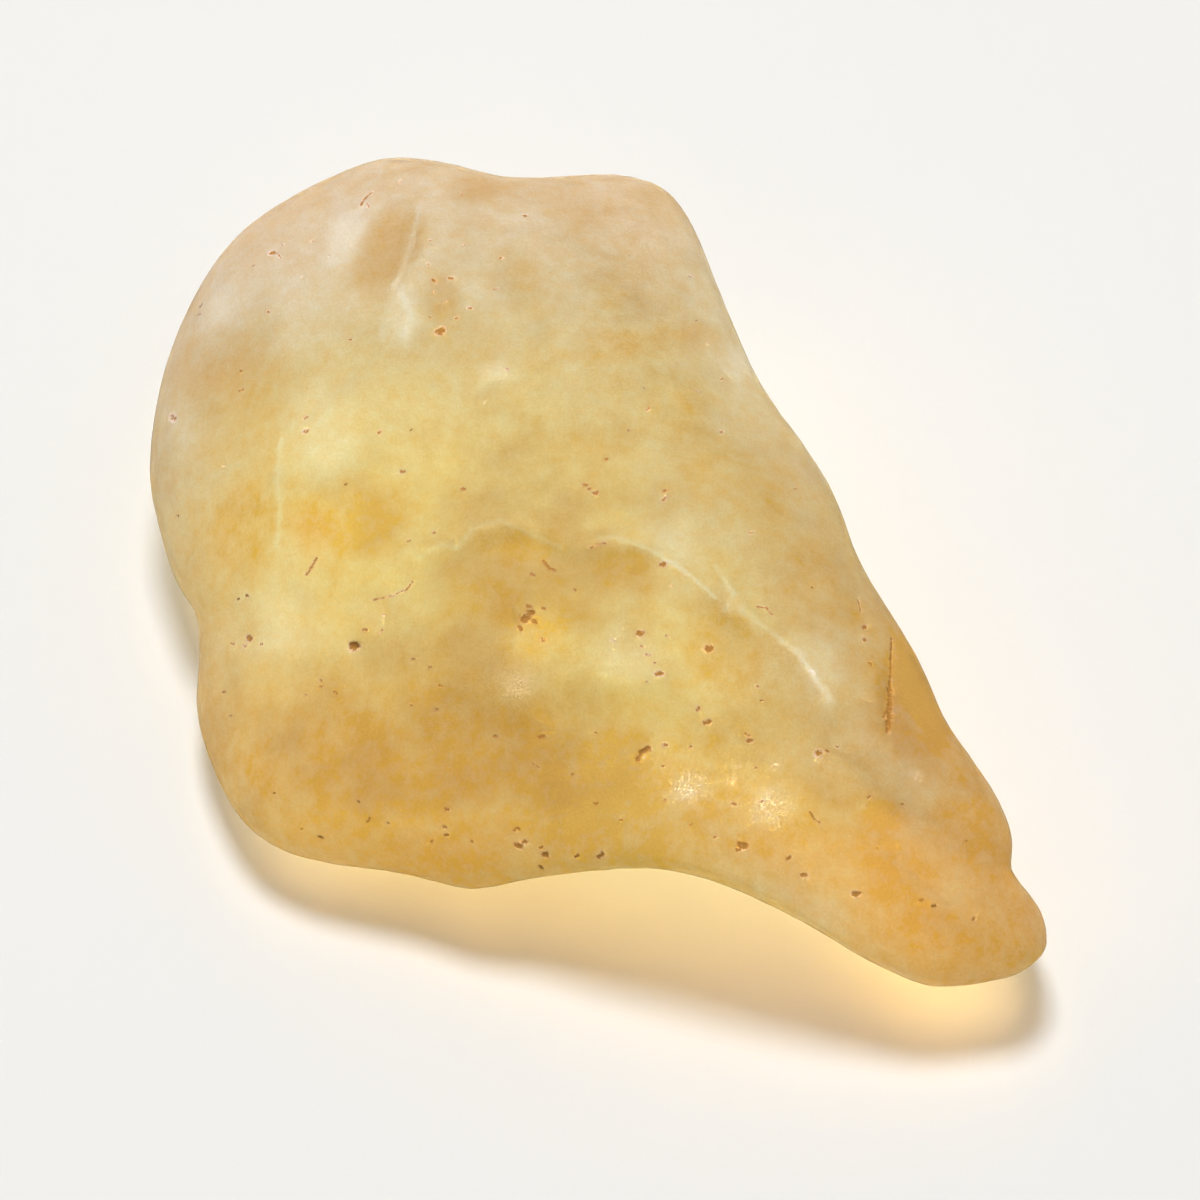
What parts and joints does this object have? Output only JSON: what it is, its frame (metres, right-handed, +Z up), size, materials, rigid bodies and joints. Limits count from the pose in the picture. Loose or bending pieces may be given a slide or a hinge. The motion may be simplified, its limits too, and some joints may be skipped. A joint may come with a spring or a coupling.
{
  "type": "libyan desert glass",
  "caption": "Worn, wedge-shaped lump of translucent pale yellow natural silica glass with a matt pitted skin, lying on its flat underside.",
  "frame": {"origin": "on the ground, under the middle of the bounding box", "axes": "+Z up out of the flat underside, +Y from the thin front edge to the thick rear, +X to the right seen from the front"},
  "size_m": [0.0426, 0.0444, 0.0175],
  "materials": {
    "desert_glass": "sand-frosted, honey yellow"
  },
  "bodies": {
    "root": {"desert_glass": "desert_glass"}
  },
  "joints": []
}
